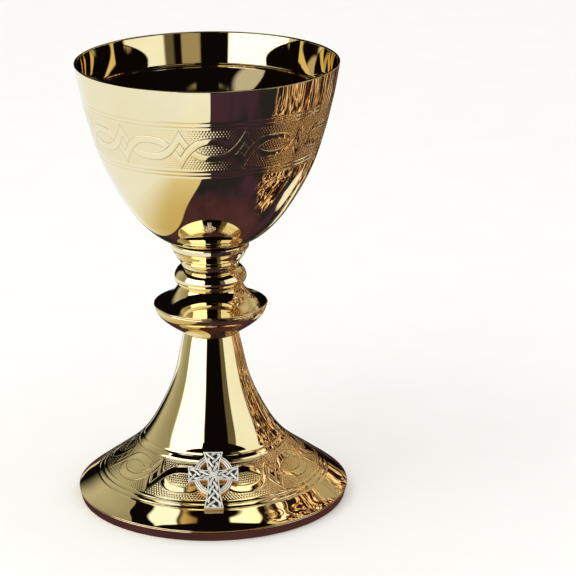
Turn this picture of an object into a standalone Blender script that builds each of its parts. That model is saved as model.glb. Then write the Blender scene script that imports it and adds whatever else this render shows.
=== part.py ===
"""Communion chalice, modelled piece by piece on its upright axis.

The cup is a spun bowl with a threaded boss brazed under it. Below it are stacked a collar, a neck bead and
a two-part knop on a trumpet-shaped foot. One tie rod runs up the middle: the bowl screws onto its upper end,
and a nut on its lower end clamps the stack. A cast cross is pinned to the front of the foot.
Heights are above the table, +Z is up, and the front, with the cross, faces -Y.
"""

import math

import bmesh
import bpy
import numpy as np
from mathutils import Vector

MM = 0.001
GAP = 0.3
WELD = 0.000001
SEGMENTS = 40
SMALL_SEGMENTS = 20
SMOOTH_STEPS = 2
SHARP_ANGLE = math.radians(30)

# Driving dimensions, in millimetres.
HEIGHT = 209.0
RIM_RADIUS = 60.3
FOOT_RADIUS = 63.5
SHEET = 1.2
KNOP_SHEET = 1.4
FOOT_RING_HEIGHT = 4.6
STEM_TOP = 80.0
STEM_RADIUS = 12.7
BOWL_SEAT = 124.2

# The stack between stem and bowl: each piece stands a gap above the one below it.
KNOP_BOTTOM_HEIGHT = 12.9
KNOP_TOP_HEIGHT = 9.5
BEAD_HEIGHT = 8.7
KNOP_BOTTOM_SEAT = STEM_TOP + GAP
KNOP_TOP_SEAT = KNOP_BOTTOM_SEAT + KNOP_BOTTOM_HEIGHT + GAP
BEAD_SEAT = KNOP_TOP_SEAT + KNOP_TOP_HEIGHT + GAP
COLLAR_SEAT = BEAD_SEAT + BEAD_HEIGHT + GAP
COLLAR_HEIGHT = BOWL_SEAT - GAP - COLLAR_SEAT

# Threaded parts: M8 rod, boss and nut, drawn at the thread's outer diameter.
ROD_RADIUS = 4.0
ROD_SHANK_RADIUS = 3.6
ROD_CHAMFER = 0.8
ROD_BOTTOM = 33.5
ROD_TOP = 120.0
ROD_THREAD_LENGTH = 24.0
THREAD_BORE = ROD_RADIUS + GAP
STUB_RADIUS = 7.0
STUB_BORE = STUB_RADIUS + 2 * GAP
STUB_LENGTH = 15.2
STEM_PLUG_HEIGHT = 16.0
KNOP_CORE_INNER = 5.0
KNOP_CORE_OUTER = 8.5
BOSS_RADIUS = 12.0
BOSS_FLANGE = 2.3
SEAT_WASHER_THICKNESS = 1.0
RECESS_RADIUS = BOSS_RADIUS + 2 * GAP
RECESS_DEPTH = BOSS_FLANGE + SEAT_WASHER_THICKNESS + 2 * GAP
NUT_ACROSS_FLATS = 13.0
NUT_THICKNESS = 6.5
NUT_FACE_RADIUS = 5.3
NUT_CHAMFER = 0.6
NUT_BORE_CHAMFER = 1.0
LOCK_WASHER_THICKNESS = 1.8
LOCK_WASHER_RADIUS = 7.4
LOCK_WASHER_SPLIT = math.radians(10)
CLAMP_WASHER_BOTTOM = 47.0

# The cross, measured on the slope of the foot: along the slope and across it.
CROSS_UP = 12.0
CROSS_DOWN = 17.8
CROSS_ARM = 11.6
CROSS_NECK_HALF = 2.5
CROSS_END_HALF = 4.4
CROSS_FLARE = 1.7
CROSS_ARM_STEPS = 4
CROSS_THICKNESS = 2.4
CROSS_RING_HALF_WIDTH = 9.0
CROSS_RING_HALF_HEIGHT = 10.6
CROSS_RING_BAND = 2.2
CROSS_RING_THICKNESS = 1.8
CROSS_CENTRE_RADIUS = 40.4
CROSS_CUT_SPACING = 2.4
PIN_RADIUS = 1.0
PIN_HOLE_RADIUS = 1.4
PIN_HOLE_REACH = 3.6
PIN_HEAD_RADIUS = 1.9
PIN_HEAD_THICKNESS = 0.9
PIN_PLACES = {"cross_pin_upper": 9.0, "cross_pin_lower": -13.0}

# Outlines as (radius, height) points, each from its own seat.
BOWL_OUTLINE = [
    (RIM_RADIUS, HEIGHT - BOWL_SEAT),
    (58.1, 71.8),
    (54.2, 55.8),
    (47.9, 36.8),
    (40.6, 23.0),
    (32.3, 11.2),
    (24.4, 3.9),
    (18.2, 0.7),
    (BOSS_RADIUS + GAP, 0.0),
]
FOOT_OUTLINE = [
    (STEM_RADIUS, STEM_TOP),
    (15.0, 69.6),
    (17.3, 59.5),
    (20.6, 50.6),
    (25.2, 41.2),
    (30.6, 32.4),
    (35.4, 26.8),
    (41.8, 21.1),
    (49.9, 15.2),
    (58.1, 9.7),
    (FOOT_RADIUS, FOOT_RING_HEIGHT + GAP),
]
KNOP_TOP_OUTLINE = [
    (15.0, KNOP_TOP_HEIGHT),
    (16.5, 7.0),
    (19.0, 4.4),
    (22.6, 2.2),
    (25.6, 1.1),
]
KNOP_BOTTOM_OUTLINE = [
    (26.1, KNOP_BOTTOM_HEIGHT),
    (25.1, 10.0),
    (22.3, 6.7),
    (18.2, 3.6),
    (14.6, 1.2),
    (12.9, 0.0),
]
KNOP_LIP = [(26.5, 0.6), (26.5, 0.3), (26.2, 0.0), (24.4, 0.0)]
KNOP_THROAT_RADIUS = 12.6
FOOT_EDGE_THICKNESS = 1.56


def clear_scene():
    for thing in list(bpy.data.objects):
        bpy.data.objects.remove(thing, do_unlink=True)


def make_material(name, colour, roughness, metallic):
    material = bpy.data.materials.new(name)
    material.use_nodes = True
    shader = material.node_tree.nodes["Principled BSDF"]
    shader.inputs["Base Color"].default_value = (*colour, 1.0)
    shader.inputs["Roughness"].default_value = roughness
    shader.inputs["Metallic"].default_value = metallic
    return material


def smooth_line(points):
    """Points along a Catmull-Rom curve through the given (radius, height) points."""
    first = tuple(2 * a - b for a, b in zip(points[0], points[1]))
    last = tuple(2 * a - b for a, b in zip(points[-1], points[-2]))
    through = [Vector(p) for p in (first, *points, last)]
    line = []
    for before, start, end, after in zip(through, through[1:], through[2:], through[3:]):
        for step in range(SMOOTH_STEPS):
            t = step / SMOOTH_STEPS
            bend = 2 * before - 5 * start + 4 * end - after
            twist = 3 * start - before - 3 * end + after
            line.append(start + 0.5 * (t * (end - before) + t * t * bend + t**3 * twist))
    line.append(through[-2])
    return line


def normal_at(line, index):
    """The normal of a downward line of an outside, pointing away from the axis."""
    after = line[min(index + 1, len(line) - 1)]
    before = line[max(index - 1, 0)]
    along = (after - before).normalized()
    return Vector((-along.y, along.x))


def inner_line(line, thickness):
    """The inside of a sheet whose outside is the given downward line."""
    return [point - thickness * normal_at(line, i) for i, point in enumerate(line)]


def finish(name, shape, material, seat=0.0):
    """Turns a bmesh into a named object standing at its seat height, in millimetres."""
    bmesh.ops.recalc_face_normals(shape, faces=shape.faces)
    mesh = bpy.data.meshes.new(name)
    shape.to_mesh(mesh)
    shape.free()
    mesh.shade_smooth()
    mesh.set_sharp_from_angle(angle=SHARP_ANGLE)
    mesh.materials.append(material)
    thing = bpy.data.objects.new(name, mesh)
    thing.location.z = seat * MM
    bpy.context.scene.collection.objects.link(thing)
    return thing


def spun(outline, segments, sweep=math.tau):
    """A bmesh of revolution about Z from a closed (radius, height) outline, which may touch the axis."""
    shape = bmesh.new()
    corners = [shape.verts.new((radius * MM, 0.0, height * MM)) for radius, height in outline]
    pairs = list(zip(corners, corners[1:] + corners[:1]))
    edges = [shape.edges.new(pair) for pair in pairs if any(corner.co.x > 0 for corner in pair)]
    bmesh.ops.spin(
        shape,
        geom=corners + edges,
        cent=(0, 0, 0),
        axis=(0, 0, 1),
        angle=sweep,
        steps=segments,
        use_merge=sweep == math.tau,
    )
    bmesh.ops.remove_doubles(shape, verts=shape.verts, dist=WELD)
    bmesh.ops.dissolve_degenerate(shape, dist=WELD, edges=shape.edges)
    if sweep < math.tau:
        bmesh.ops.holes_fill(shape, edges=shape.edges, sides=0)
    return shape


def turned(name, outline, material, seat=0.0, segments=SEGMENTS, sweep=math.tau):
    return finish(name, spun(outline, segments, sweep), material, seat)


def evaluated_mesh(thing):
    """The object's mesh with its modifiers applied."""
    bpy.context.view_layer.update()
    graph = bpy.context.evaluated_depsgraph_get()
    return bpy.data.meshes.new_from_object(thing.evaluated_get(graph))


def hide_helper(thing):
    thing.hide_render = True
    thing.display_type = "WIRE"


def add_boolean(thing, other, operation):
    modifier = thing.modifiers.new(operation.title(), "BOOLEAN")
    modifier.operation = operation
    modifier.solver = "EXACT"
    modifier.object = other
    hide_helper(other)


def make_bowl(material):
    """The spun cup: a closed base, a full belly and a nearly straight flaring side."""
    outside = smooth_line(BOWL_OUTLINE)
    inside = inner_line(outside, SHEET)
    inside[0] = Vector((RIM_RADIUS - SHEET, HEIGHT - BOWL_SEAT))
    base = [Vector((0.0, 0.0))]
    floor = [Vector((0.0, SHEET))]
    return turned("bowl", outside + base + floor + inside[::-1], material, BOWL_SEAT)


def make_bowl_boss(material):
    """The flanged boss under the cup, with a blind threaded bore for the tie rod."""
    top = -GAP
    bore_end = ROD_TOP + 2 * GAP - BOWL_SEAT
    outline = [
        (0.0, bore_end),
        (THREAD_BORE, bore_end),
        (THREAD_BORE, -STUB_LENGTH),
        (STUB_RADIUS, -STUB_LENGTH),
        (STUB_RADIUS, top - BOSS_FLANGE),
        (BOSS_RADIUS, top - BOSS_FLANGE),
        (BOSS_RADIUS, top),
        (0.0, top),
    ]
    return turned("bowl_boss", outline, material, BOWL_SEAT, SMALL_SEGMENTS)


def ring_outline(inner, outer, height):
    return [(inner, 0.0), (outer, 0.0), (outer, height), (inner, height)]


def make_seat_washer(material):
    """The thin washer between the boss flange and the floor of the collar's recess."""
    seat = BOWL_SEAT - RECESS_DEPTH
    outline = ring_outline(STUB_RADIUS + GAP, BOSS_RADIUS, SEAT_WASHER_THICKNESS)
    return turned("seat_washer", outline, material, seat, SMALL_SEGMENTS)


def make_collar(material):
    """The turned collar that carries the bowl: a small lip over a hollow taper."""
    recess_floor = COLLAR_HEIGHT + GAP - RECESS_DEPTH - GAP
    lip = COLLAR_HEIGHT
    outline = [
        (STUB_BORE, 0.0),
        (13.2, 0.0),
        (13.4, 1.0),
        (14.2, 2.9),
        (15.6, 4.9),
        (16.9, lip - 4.2),
        (17.4, lip - 3.3),
        (17.9, lip - 3.0),
        (18.1, lip - 2.2),
        (18.1, lip - 0.8),
        (17.5, lip),
        (RECESS_RADIUS, lip),
        (RECESS_RADIUS, recess_floor),
        (STUB_BORE, recess_floor),
    ]
    return turned("collar", outline, material, COLLAR_SEAT)


def make_neck_bead(material):
    """The rounded bead between collar and knop."""
    outline = [
        (STUB_BORE, 0.0),
        (14.9, 0.0),
        (15.9, 1.3),
        (16.6, 2.6),
        (16.85, 3.9),
        (16.5, 5.4),
        (15.6, 7.0),
        (14.4, 8.2),
        (13.5, BEAD_HEIGHT),
        (STUB_BORE, BEAD_HEIGHT),
    ]
    return turned("neck_bead", outline, material, BEAD_SEAT)


def make_knop_top(material):
    """The upper shell of the knop: a cone that flares out to a thin lip."""
    outside = smooth_line(KNOP_TOP_OUTLINE)
    inside = inner_line(outside, KNOP_SHEET)[1:-2]
    roof = KNOP_TOP_HEIGHT - KNOP_SHEET
    throat = [(KNOP_THROAT_RADIUS, roof), (STUB_BORE, roof), (STUB_BORE, KNOP_TOP_HEIGHT)]
    inside = [p for p in inside if p.y < roof - GAP and p.x > KNOP_THROAT_RADIUS]
    outline = [tuple(p) for p in outside] + KNOP_LIP + [tuple(p) for p in inside[::-1]] + throat
    return turned("knop_top", outline, material, KNOP_TOP_SEAT)


def make_knop_bottom(material):
    """The lower shell of the knop: a round dish with a hole in its floor for the rod."""
    outside = smooth_line(KNOP_BOTTOM_OUTLINE)
    inside = inner_line(outside, KNOP_SHEET)
    inside[0] = outside[0] - Vector((KNOP_SHEET, 0.0))
    inside = [p for p in inside if p.y > KNOP_SHEET + GAP]
    corner = inside[-1].x - KNOP_SHEET
    floor = [(STUB_RADIUS, 0.0), (STUB_RADIUS, KNOP_SHEET), (corner, KNOP_SHEET)]
    outline = [tuple(p) for p in outside] + floor + [tuple(p) for p in inside[::-1]]
    return turned("knop_bottom", outline, material, KNOP_BOTTOM_SEAT)


def make_knop_core(material):
    """The sleeve inside the knop that takes the clamping load between its two shells."""
    seat = KNOP_BOTTOM_SEAT + KNOP_SHEET + GAP
    height = BEAD_SEAT - GAP - KNOP_SHEET - GAP - seat
    outline = ring_outline(KNOP_CORE_INNER, KNOP_CORE_OUTER, height)
    return turned("knop_core", outline, material, seat, SMALL_SEGMENTS)


def make_foot_shell(material):
    """Stem and foot spun from one sheet, flaring like a trumpet, with two holes for the cross pins."""
    outside = smooth_line(FOOT_OUTLINE)
    inside = inner_line(outside, SHEET)
    inside[0] = Vector((STEM_RADIUS - SHEET, STEM_TOP))
    inside[-1] = outside[-1] - Vector((FOOT_EDGE_THICKNESS, 0.0))
    foot = turned("foot_shell", outside + inside[::-1], material)
    hole = [
        (0.0, -PIN_HOLE_REACH),
        (PIN_HOLE_RADIUS, -PIN_HOLE_REACH),
        (PIN_HOLE_RADIUS, PIN_HOLE_REACH),
        (0.0, PIN_HOLE_REACH),
    ]
    for name, along in PIN_PLACES.items():
        cutter = turned(name + "_hole", hole, material, segments=SMALL_SEGMENTS)
        place_on_slope(cutter, along)
        add_boolean(foot, cutter, "DIFFERENCE")
    return foot


def make_foot_ring(material):
    """The solid ring under the edge of the foot, on which the chalice stands."""
    outline = [
        (58.6, 1.0),
        (59.6, 0.0),
        (62.3, 0.0),
        (FOOT_RADIUS, FOOT_RING_HEIGHT),
        (58.6, FOOT_RING_HEIGHT),
    ]
    return turned("foot_ring", outline, material)


def make_stem_plug(material):
    """The bush that closes the top of the stem and centres the rod."""
    outline = ring_outline(ROD_RADIUS + GAP, STEM_RADIUS - SHEET - 2 * GAP, STEM_PLUG_HEIGHT)
    return turned("stem_plug", outline, material, STEM_TOP - STEM_PLUG_HEIGHT, SMALL_SEGMENTS)


def make_tie_rod(material):
    """The rod through the whole stack, threaded at both ends."""
    lower_thread = ROD_BOTTOM + ROD_THREAD_LENGTH
    upper_thread = ROD_TOP - ROD_THREAD_LENGTH
    relief = ROD_RADIUS - ROD_SHANK_RADIUS
    outline = [
        (0.0, ROD_BOTTOM),
        (ROD_RADIUS - ROD_CHAMFER, ROD_BOTTOM),
        (ROD_RADIUS, ROD_BOTTOM + ROD_CHAMFER),
        (ROD_RADIUS, lower_thread),
        (ROD_SHANK_RADIUS, lower_thread + relief),
        (ROD_SHANK_RADIUS, upper_thread - relief),
        (ROD_RADIUS, upper_thread),
        (ROD_RADIUS, ROD_TOP - ROD_CHAMFER),
        (ROD_RADIUS - ROD_CHAMFER, ROD_TOP),
        (0.0, ROD_TOP),
    ]
    return turned("tie_rod", outline, material, segments=SMALL_SEGMENTS)


def make_clamp_washer(material):
    """The wide washer that wedges inside the taper of the stem and takes the nut's pull."""
    outline = [
        (THREAD_BORE, 0.0),
        (19.0, 0.0),
        (19.9, 0.6),
        (19.2, 2.2),
        (10.5, 2.2),
        (8.5, 3.8),
        (THREAD_BORE, 3.8),
    ]
    return turned("clamp_washer", outline, material, CLAMP_WASHER_BOTTOM, SMALL_SEGMENTS * 2)


def make_lock_washer(material):
    """The split spring washer under the clamp washer."""
    seat = CLAMP_WASHER_BOTTOM - GAP - LOCK_WASHER_THICKNESS
    outline = ring_outline(THREAD_BORE, LOCK_WASHER_RADIUS, LOCK_WASHER_THICKNESS)
    sweep = math.tau - LOCK_WASHER_SPLIT
    return turned("lock_washer", outline, material, seat, SMALL_SEGMENTS, sweep)


def make_hex_nut(material):
    """The M8 nut: a hexagon trimmed by its chamfers and its bore."""
    seat = CLAMP_WASHER_BOTTOM - 2 * GAP - LOCK_WASHER_THICKNESS - NUT_THICKNESS
    corner_radius = NUT_ACROSS_FLATS / 2 / math.cos(math.pi / 6)
    shape = bmesh.new()
    bmesh.ops.create_cone(
        shape,
        cap_ends=True,
        segments=6,
        radius1=corner_radius * MM,
        radius2=corner_radius * MM,
        depth=NUT_THICKNESS * MM,
    )
    bmesh.ops.translate(shape, verts=shape.verts, vec=(0, 0, NUT_THICKNESS / 2 * MM))
    nut = finish("hex_nut", shape, material, seat)
    outline = [
        (THREAD_BORE, -NUT_BORE_CHAMFER),
        (NUT_FACE_RADIUS, -NUT_CHAMFER),
        (corner_radius + NUT_CHAMFER, NUT_CHAMFER),
        (corner_radius + NUT_CHAMFER, NUT_THICKNESS - NUT_CHAMFER),
        (NUT_FACE_RADIUS, NUT_THICKNESS + NUT_CHAMFER),
        (THREAD_BORE, NUT_THICKNESS + NUT_BORE_CHAMFER),
    ]
    trim = turned("hex_nut_trim", outline, material, seat, SMALL_SEGMENTS)
    add_boolean(nut, trim, "INTERSECT")
    return nut


def slope_frame(along):
    """The point and outward normal on the front of the foot, at a distance uphill of the cross centre."""
    line = smooth_line(FOOT_OUTLINE)
    radii = [point.x for point in line]
    heights = [point.y for point in line]
    normals = [normal_at(line, i) for i in range(len(line))]
    lengths = np.cumsum([0.0] + [(b - a).length for a, b in zip(line, line[1:])])
    place = np.interp(CROSS_CENTRE_RADIUS, radii, lengths) - along
    point = Vector((np.interp(place, lengths, radii), np.interp(place, lengths, heights)))
    outward = [np.interp(place, lengths, [n[axis] for n in normals]) for axis in (0, 1)]
    return point, Vector(outward).normalized()


def bend_to_slope(position):
    """Maps a flat (across, uphill, proud) position, in metres, onto the front of the foot."""
    point, normal = slope_frame(position.y / MM)
    away = point + normal * (position.z / MM)
    turn = position.x / MM / point.x
    return Vector((away.x * math.sin(turn), -away.x * math.cos(turn), away.y)) * MM


def place_on_slope(thing, along):
    """Stands an object's Z axis square to the front of the foot."""
    point, normal = slope_frame(along)
    thing.location = Vector((0.0, -point.x, point.y)) * MM
    thing.rotation_euler.x = math.atan2(normal.x, normal.y)


def flared_arm(length, direction):
    """Outline points of one arm of the cross, neck to end and back, as (across, along)."""
    shares = [i / CROSS_ARM_STEPS for i in range(CROSS_ARM_STEPS + 1)]
    reach = [CROSS_NECK_HALF + (length - CROSS_NECK_HALF) * share for share in shares]
    growth = CROSS_END_HALF - CROSS_NECK_HALF
    half = [CROSS_NECK_HALF + growth * share**CROSS_FLARE for share in shares]
    right = [(w, r) for w, r in zip(half, reach)]
    left = [(-w, r) for w, r in zip(half[::-1], reach[::-1])]
    c, s = direction
    return [(x * s + y * c, y * s - x * c) for x, y in right + left]


def flat_plate(name, rings, bottom, top, material):
    """A plate from an outer outline and an optional hole, between two heights."""
    shape = bmesh.new()
    edges = []
    for ring in rings:
        corners = [shape.verts.new((x * MM, y * MM, bottom * MM)) for x, y in ring]
        edges += [shape.edges.new(pair) for pair in zip(corners, corners[1:] + corners[:1])]
    if len(rings) == 1:
        bmesh.ops.contextual_create(shape, geom=edges)
    else:
        bmesh.ops.bridge_loops(shape, edges=edges)
    sides = bmesh.ops.extrude_face_region(shape, geom=list(shape.faces))
    moved = [v for v in sides["geom"] if isinstance(v, bmesh.types.BMVert)]
    bmesh.ops.translate(shape, verts=moved, vec=(0, 0, (top - bottom) * MM))
    return finish(name, shape, material)


def make_cross(material):
    """The cast cross: four flared arms over a ring, bent to lie on the flare of the foot."""
    back = GAP
    arms = []
    for length, direction in (
        (CROSS_UP, (0, 1)),
        (CROSS_ARM, (-1, 0)),
        (CROSS_DOWN, (0, -1)),
        (CROSS_ARM, (1, 0)),
    ):
        arms += flared_arm(length, direction)[:-1]
    plate = flat_plate("cross_arms", [arms], back, back + CROSS_THICKNESS, material)
    loops = []
    for inset in (0.0, CROSS_RING_BAND):
        width = CROSS_RING_HALF_WIDTH - inset
        height = CROSS_RING_HALF_HEIGHT - inset
        angles = [math.tau * (i + 0.5) / SEGMENTS for i in range(SEGMENTS)]
        loops.append([(width * math.cos(a), height * math.sin(a)) for a in angles])
    ring = flat_plate("cross_ring", loops, back, back + CROSS_RING_THICKNESS, material)
    add_boolean(plate, ring, "UNION")
    shape = bmesh.new()
    shape.from_mesh(evaluated_mesh(plate))
    for thing in (plate, ring):
        bpy.data.objects.remove(thing, do_unlink=True)
    for axis, low, high in (((1, 0, 0), -CROSS_ARM, CROSS_ARM), ((0, 1, 0), -CROSS_DOWN, CROSS_UP)):
        count = round((high - low) / CROSS_CUT_SPACING)
        for i in range(1, count):
            place = Vector(axis) * (low + (high - low) * i / count) * MM
            everything = list(shape.verts) + list(shape.edges) + list(shape.faces)
            bmesh.ops.bisect_plane(shape, geom=everything, dist=WELD, plane_co=place, plane_no=axis)
    bmesh.ops.triangulate(shape, faces=shape.faces)
    for vertex in shape.verts:
        vertex.co = bend_to_slope(vertex.co)
    return finish("cross", shape, material)


def make_cross_pin(name, along, material):
    """A pin from the back of the cross through the sheet, with its peened head inside the foot."""
    head = -SHEET - 2 * GAP
    outline = [
        (0.0, head - PIN_HEAD_THICKNESS),
        (PIN_HEAD_RADIUS, head - PIN_HEAD_THICKNESS / 2),
        (PIN_HEAD_RADIUS, head),
        (PIN_RADIUS, head),
        (PIN_RADIUS, 0.0),
        (0.0, 0.0),
    ]
    pin = turned(name, outline, material, segments=SMALL_SEGMENTS // 2)
    place_on_slope(pin, along)
    return pin


def make_axis(name, height, children):
    """An empty on the upright axis, the parent of the pieces that screw along it."""
    axis = bpy.data.objects.new(name, None)
    axis.location.z = height * MM
    bpy.context.scene.collection.objects.link(axis)
    for child in children:
        child.location.z -= height * MM
        child.parent = axis


def build():
    clear_scene()
    gilt = make_material("polished_gilt_brass", (0.86, 0.66, 0.36), 0.06, 1.0)
    inner_gilt = make_material("gilt_bowl", (0.88, 0.70, 0.40), 0.05, 1.0)
    brass = make_material("turned_brass", (0.72, 0.53, 0.26), 0.25, 1.0)
    steel = make_material("zinc_plated_steel", (0.62, 0.62, 0.60), 0.3, 1.0)
    silver = make_material("oxidised_silver", (0.80, 0.79, 0.75), 0.3, 1.0)
    fibre = make_material("fibre_washer", (0.28, 0.10, 0.06), 0.7, 0.0)
    bowl = make_bowl(inner_gilt)
    boss = make_bowl_boss(brass)
    seat_washer = make_seat_washer(fibre)
    make_axis("bowl_screw_axis", BOWL_SEAT, [bowl, boss, seat_washer])
    make_collar(gilt)
    make_neck_bead(gilt)
    make_knop_top(gilt)
    make_knop_bottom(gilt)
    make_knop_core(brass)
    make_foot_shell(gilt)
    make_foot_ring(gilt)
    make_stem_plug(brass)
    make_tie_rod(steel)
    make_clamp_washer(brass)
    lock_washer = make_lock_washer(steel)
    nut = make_hex_nut(steel)
    make_axis("nut_screw_axis", CLAMP_WASHER_BOTTOM, [lock_washer, nut])
    make_cross(silver)
    for name, along in PIN_PLACES.items():
        make_cross_pin(name, along, brass)


build()
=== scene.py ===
import math

import bpy
import numpy as np
from mathutils import Matrix, Vector


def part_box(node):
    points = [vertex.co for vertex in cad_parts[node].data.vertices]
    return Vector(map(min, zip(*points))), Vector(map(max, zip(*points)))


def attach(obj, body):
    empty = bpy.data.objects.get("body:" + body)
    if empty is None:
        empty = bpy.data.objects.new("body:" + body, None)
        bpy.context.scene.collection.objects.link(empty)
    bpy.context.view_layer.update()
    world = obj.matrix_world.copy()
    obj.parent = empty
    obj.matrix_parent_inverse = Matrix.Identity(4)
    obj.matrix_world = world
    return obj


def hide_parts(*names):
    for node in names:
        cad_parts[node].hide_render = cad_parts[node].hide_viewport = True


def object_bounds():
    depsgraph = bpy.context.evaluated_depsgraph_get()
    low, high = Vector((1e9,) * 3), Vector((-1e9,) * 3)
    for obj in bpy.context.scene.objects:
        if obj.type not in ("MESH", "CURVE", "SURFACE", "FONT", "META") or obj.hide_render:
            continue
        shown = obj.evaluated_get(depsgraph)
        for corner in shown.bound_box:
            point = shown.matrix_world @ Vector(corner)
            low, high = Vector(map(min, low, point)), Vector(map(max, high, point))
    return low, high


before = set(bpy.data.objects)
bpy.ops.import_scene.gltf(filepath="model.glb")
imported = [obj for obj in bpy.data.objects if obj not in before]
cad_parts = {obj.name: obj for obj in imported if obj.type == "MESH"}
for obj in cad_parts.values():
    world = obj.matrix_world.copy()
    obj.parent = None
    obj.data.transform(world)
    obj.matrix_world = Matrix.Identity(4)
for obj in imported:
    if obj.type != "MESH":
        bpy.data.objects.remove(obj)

# Looks of the communion chalice. Lengths are millimetres and angles degrees unless a name says otherwise.
# Angles around the axis start at the front (-Y) and grow towards +X.

MM = 0.001
CAD_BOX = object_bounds()


def bottom_of(node):
    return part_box(node)[0].z / MM


def top_of(node):
    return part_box(node)[1].z / MM


def radius_of(node):
    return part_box(node)[1].x / MM


HEIGHT = CAD_BOX[1].z / MM
BOWL_SEAT = bottom_of("bowl")
RIM_RADIUS = radius_of("bowl")
COLLAR_SEAT = bottom_of("collar")
COLLAR_HEIGHT = top_of("collar") - COLLAR_SEAT
BEAD_SEAT = bottom_of("neck_bead")
BEAD_HEIGHT = top_of("neck_bead") - BEAD_SEAT
KNOP_TOP_SEAT = bottom_of("knop_top")
KNOP_TOP_HEIGHT = top_of("knop_top") - KNOP_TOP_SEAT
KNOP_BOTTOM_SEAT = bottom_of("knop_bottom")
KNOP_BOTTOM_HEIGHT = top_of("knop_bottom") - KNOP_BOTTOM_SEAT
STEM_TOP = top_of("foot_shell")
SHELL_EDGE = bottom_of("foot_shell")
SHEET = 1.2
KNOP_SHEET = 1.4
STUB_BORE = 7.6
# A faint raised line around the inside of the cup, which breaks the reflections there.
INNER_BEAD_HEIGHT = 193.2
INNER_BEAD = 0.10
INNER_BEAD_WIDTH = 0.45
INNER_BEAD_MARGIN = 1.2

BOSS_ROOF = 120.6
CLAMP_CORNERS = [(4.3, 3.8), (8.5, 3.8), (10.5, 2.2), (19.2, 2.2), (19.9, 0.6), (19.0, 0.0), (4.3, 0.0)]

GILT_COLUMNS = 240
FOOT_RING_COLUMNS = 300
HARDWARE_COLUMNS = 96
ROD_COLUMNS = 48

# Outlines as (radius, height) points. Those of the stacked pieces start at each piece's own seat.
BOWL_OUTLINE = [
    (RIM_RADIUS, HEIGHT - BOWL_SEAT - 0.3), (58.1, 71.8), (54.2, 55.8), (47.9, 36.8), (40.6, 23.0),
    (32.3, 11.2), (24.4, 3.9), (18.2, 0.7), (12.3, 0.0),
]
FOOT_OUTLINE = [
    (12.7, STEM_TOP), (15.0, 69.6), (17.3, 59.5), (20.6, 50.6), (25.2, 41.2), (30.6, 32.4),
    (35.4, 26.8), (41.8, 21.1), (49.9, 15.2), (54.0, 12.25), (58.1, 9.2), (62.2, 6.15),
    (63.3, SHELL_EDGE + 0.3),
]
KNOP_TOP_OUTLINE = [
    (15.0, KNOP_TOP_HEIGHT), (16.5, 7.0), (19.0, 4.4), (22.6, 2.2), (25.9, 0.9),
]
KNOP_BOTTOM_OUTLINE = [
    (26.1, KNOP_BOTTOM_HEIGHT), (25.1, 10.0), (22.3, 6.7), (18.2, 3.6), (14.6, 1.2), (12.9, 0.0),
]
BEAD_OUTLINE = [
    (13.5, BEAD_HEIGHT), (14.4, 8.2), (15.6, 7.0), (16.5, 5.4), (16.85, 3.9), (16.6, 2.6), (15.9, 1.3),
    (14.9, 0.0),
]
COLLAR_COVE = [
    (13.2, 0.0), (13.4, 1.0), (14.2, 2.9), (15.6, 4.9), (16.9, COLLAR_HEIGHT - 4.2),
    (17.3, COLLAR_HEIGHT - 3.5),
]
FOOT_RING_CORNERS = [(63.5, 4.6), (62.3, 0.0), (59.6, 0.0), (58.6, 1.0), (58.6, 4.6)]

# Engraved bands. Heights are above the table. A pattern is drawn in (degrees, mm) from an eye's centre.
BOWL_PATTERN = {
    "rings": (194.1, 192.1, 170.2, 168.4), "repeats": 12, "eye_at": 2.0, "middle": 181.4,
    "half_band": 10.3, "eye": 2.5, "arch": 5.9, "tip": 9.8, "diamond": 3.6,
    "columns": 84, "plain_step": 1.1, "end_step": 1.7, "dot_depth": 0.30,
}
FOOT_PATTERN = {
    "rings": (30.0, 27.4, 13.9, 12.3), "repeats": 9, "eye_at": 20.0, "middle": 20.9,
    "half_band": 10.4, "eye": 3.3, "arch": 7.3, "tip": 10.0, "diamond": 4.2,
    "columns": 100, "plain_step": 1.3, "end_step": 0.9, "dot_depth": 0.20,
}
# What an unengraved place stores: far from every ring and ribbon, and not part of the punched ground.
FAR = 9.0
PLAIN = {"ring": FAR, "over": -FAR, "under": -FAR, "side": 0.0, "ground": -1.0}
# How steeply the two edges of a ribbon bend down towards its ends.
EYE_BEND = 2.5
ARCH_BEND = 2.8
COARSEN = 3
ROUNDING_STEPS = 4
ROW_STEP = 0.37
DOT_COLUMNS = 4
DOT_ROWS = 3
DOT_RADIUS = 0.28
LINE_DEPTH = 0.09
LINE_RADIUS = 0.27
RING_DEPTH = 0.2
RING_RADIUS = 0.38
GROUND_DROP = 0.05
RIBBON_CROWN = 0.02
GROUND_EDGE = (0.1, 0.5)
CROWN_EDGE = (0.2, 1.4)
DOT_EDGE = (0.35, 0.55)
RING_MARGIN = 1.4

# The cross, in its flat layout: across and uphill on the front of the foot.
CROSS = {"up": 12.0, "down": 17.8, "side": 11.3, "neck": 2.5, "end": 4.4, "flare": 1.7}
CROSS_GAP = 0.3
CROSS_THICKNESS = 2.4
CROSS_RING = {"half_width": 9.0, "half_height": 10.6, "band": 2.2, "thickness": 1.8}
CROSS_CENTRE_RADIUS = 40.4
CROSS_CELL = 0.14
CROSS_MARGIN = 0.3
KNOT_GAP = 0.34
STRAND = 0.60
BORDER = 0.62


# ---- curves and lathe work


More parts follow.
